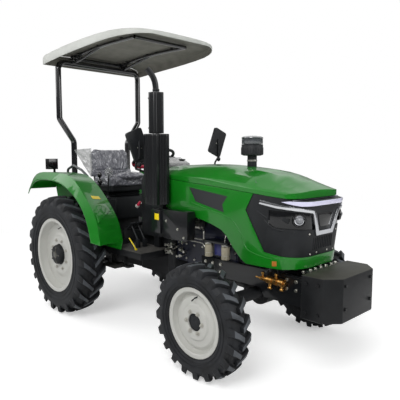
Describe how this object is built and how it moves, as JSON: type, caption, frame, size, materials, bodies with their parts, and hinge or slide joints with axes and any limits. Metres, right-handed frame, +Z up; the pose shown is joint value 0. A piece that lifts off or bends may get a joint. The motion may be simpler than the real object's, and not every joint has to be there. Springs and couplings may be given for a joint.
{
  "type": "compact farm tractor",
  "caption": "Compact four-wheel-drive farm tractor with a tilting bonnet, sunshade canopy on a roll-over hoop, front weight box and rear three-point linkage.",
  "frame": {"origin": "on the ground, midway along the machine's overall length and width", "axes": "+X forward, +Y to the driver's left, +Z up"},
  "size_m": [3.282, 1.504, 2.398],
  "materials": {
    "green_paint": "gloss",
    "ivory_paint": "satin",
    "black_paint": "gloss",
    "canopy_plastic": "satin",
    "tyre_rubber": "matt",
    "cast_black": "satin",
    "engine_blue": "satin",
    "bright_steel": "brushed",
    "chrome": "polished",
    "black_plastic": "matt",
    "lamp_lens": "clear",
    "lamp_black": "gloss",
    "seat_wrap": "wrinkled clear film over dark vinyl"
  },
  "bodies": {
    "chassis": {"gearbox_and_axle": "cast_black", "drive_shaft": "bright_steel", "drawbar": "black_paint", "front_frame": "black_paint", "front_weight_box": "black_paint", "engine": "engine_blue", "fuel_system": "bright_steel", "radiator": "black_paint", "front_axle": "cast_black", "dash_console": "black_plastic", "pedals": "black_plastic", "platform": "black_paint", "fender_left": "green_paint", "fender_right": "green_paint", "fender_rails": "black_paint", "tail_lamps": "lamp_black", "seat_base": "black_paint", "seat_cushion": "seat_wrap", "seat_backrest": "seat_wrap", "control_levers": "black_plastic", "exhaust_pipe": "black_paint", "exhaust_guard": "black_paint", "side_boxes": "black_plastic", "mirrors": "black_plastic", "rollover_hoop": "black_paint", "canopy_roof": "canopy_plastic"},
    "rear_wheel_left": {"rear_tyre_left": "tyre_rubber", "rear_wheel_left": "ivory_paint"},
    "rear_wheel_right": {"rear_tyre_right": "tyre_rubber", "rear_wheel_right": "ivory_paint"},
    "front_wheel_left": {"front_tyre_left": "tyre_rubber", "front_wheel_left": "ivory_paint"},
    "front_wheel_right": {"front_tyre_right": "tyre_rubber", "front_wheel_right": "ivory_paint"},
    "knuckle_left": {"knuckle_left": "cast_black"},
    "knuckle_right": {"knuckle_right": "cast_black"},
    "tie_rod": {"tie_rod": "bright_steel"},
    "steering_wheel": {"steering_wheel": "black_plastic"},
    "bonnet": {"bonnet_top": "green_paint", "bonnet_side_frame": "green_paint", "side_mesh": "black_plastic", "grille_nose": "black_plastic", "headlamps": "lamp_black", "light_bar": "lamp_lens", "chrome_trim": "chrome", "air_precleaner": "black_plastic"},
    "lower_links": {"lower_links": "black_paint"},
    "lift_arms": {"lift_arms": "black_paint"},
    "lift_rods": {"lift_rods": "black_paint"},
    "top_link": {"top_link": "black_paint"},
    "pto_shaft": {"pto_shaft": "bright_steel"}
  },
  "joints": [
    {"name": "rear_wheel_left_spin", "type": "hinge", "parent": "chassis", "child": "rear_wheel_left", "pos_m": [-0.841, 0.63, 0.52], "axis": [0, 1, 0], "continuous": true},
    {"name": "rear_wheel_right_spin", "type": "hinge", "parent": "chassis", "child": "rear_wheel_right", "pos_m": [-0.841, -0.63, 0.52], "axis": [0, 1, 0], "continuous": true},
    {"name": "steering_wheel_turn", "type": "hinge", "parent": "chassis", "child": "steering_wheel", "pos_m": [-0.351, 0, 1.365], "axis": [-0.42, 0, 0.9075], "range_deg": [-540, 540]},
    {"name": "knuckle_left_turn", "type": "hinge", "parent": "chassis", "child": "knuckle_left", "pos_m": [0.909, 0.452, 0.43], "axis": [0, 0, 1], "range_deg": [-35.5, 35.5]},
    {"name": "knuckle_right_turn", "type": "hinge", "parent": "chassis", "child": "knuckle_right", "pos_m": [0.909, -0.452, 0.43], "axis": [0, 0, 1], "range_deg": [-35.5, 35.5]},
    {"name": "tie_rod_turn", "type": "hinge", "parent": "knuckle_left", "child": "tie_rod", "pos_m": [0.759, 0.452, 0.344], "axis": [0, 0, 1], "range_deg": [-35.5, 35.5]},
    {"name": "front_wheel_left_spin", "type": "hinge", "parent": "knuckle_left", "child": "front_wheel_left", "pos_m": [0.909, 0.635, 0.365], "axis": [0, 1, 0], "continuous": true},
    {"name": "front_wheel_right_spin", "type": "hinge", "parent": "knuckle_right", "child": "front_wheel_right", "pos_m": [0.909, -0.635, 0.365], "axis": [0, 1, 0], "continuous": true},
    {"name": "bonnet_tilt", "type": "hinge", "parent": "chassis", "child": "bonnet", "pos_m": [0.074, 0, 1.25], "axis": [0, -1, 0], "range_deg": [0, 50]},
    {"name": "lower_links_lift", "type": "hinge", "parent": "chassis", "child": "lower_links", "pos_m": [-0.911, 0, 0.37], "axis": [0, 1, 0], "range_deg": [0, 28]},
    {"name": "lift_arms_turn", "type": "hinge", "parent": "chassis", "child": "lift_arms", "pos_m": [-1.006, 0, 0.84], "axis": [0, 1, 0], "range_deg": [0, 28.5]},
    {"name": "lift_rods_swing", "type": "hinge", "parent": "lift_arms", "child": "lift_rods", "pos_m": [-1.29552, 0, 0.82336], "axis": [0, 1, 0], "range_deg": [-28.5, 0]},
    {"name": "top_link_swing", "type": "hinge", "parent": "chassis", "child": "top_link", "pos_m": [-1.105, 0, 0.752], "axis": [0, 1, 0], "range_deg": [0, 95]},
    {"name": "pto_shaft_spin", "type": "hinge", "parent": "chassis", "child": "pto_shaft", "pos_m": [-1.011, 0, 0.545], "axis": [1, 0, 0], "continuous": true}
  ],
  "couplings": [
    {"joint": "knuckle_left_turn", "follows": "steering_wheel_turn", "ratio": 0.064815},
    {"joint": "knuckle_right_turn", "follows": "steering_wheel_turn", "ratio": 0.064815},
    {"joint": "tie_rod_turn", "follows": "steering_wheel_turn", "ratio": -0.064815},
    {"joint": "lift_arms_turn", "follows": "lower_links_lift", "ratio": 1},
    {"joint": "lift_rods_swing", "follows": "lower_links_lift", "ratio": -1}
  ]
}
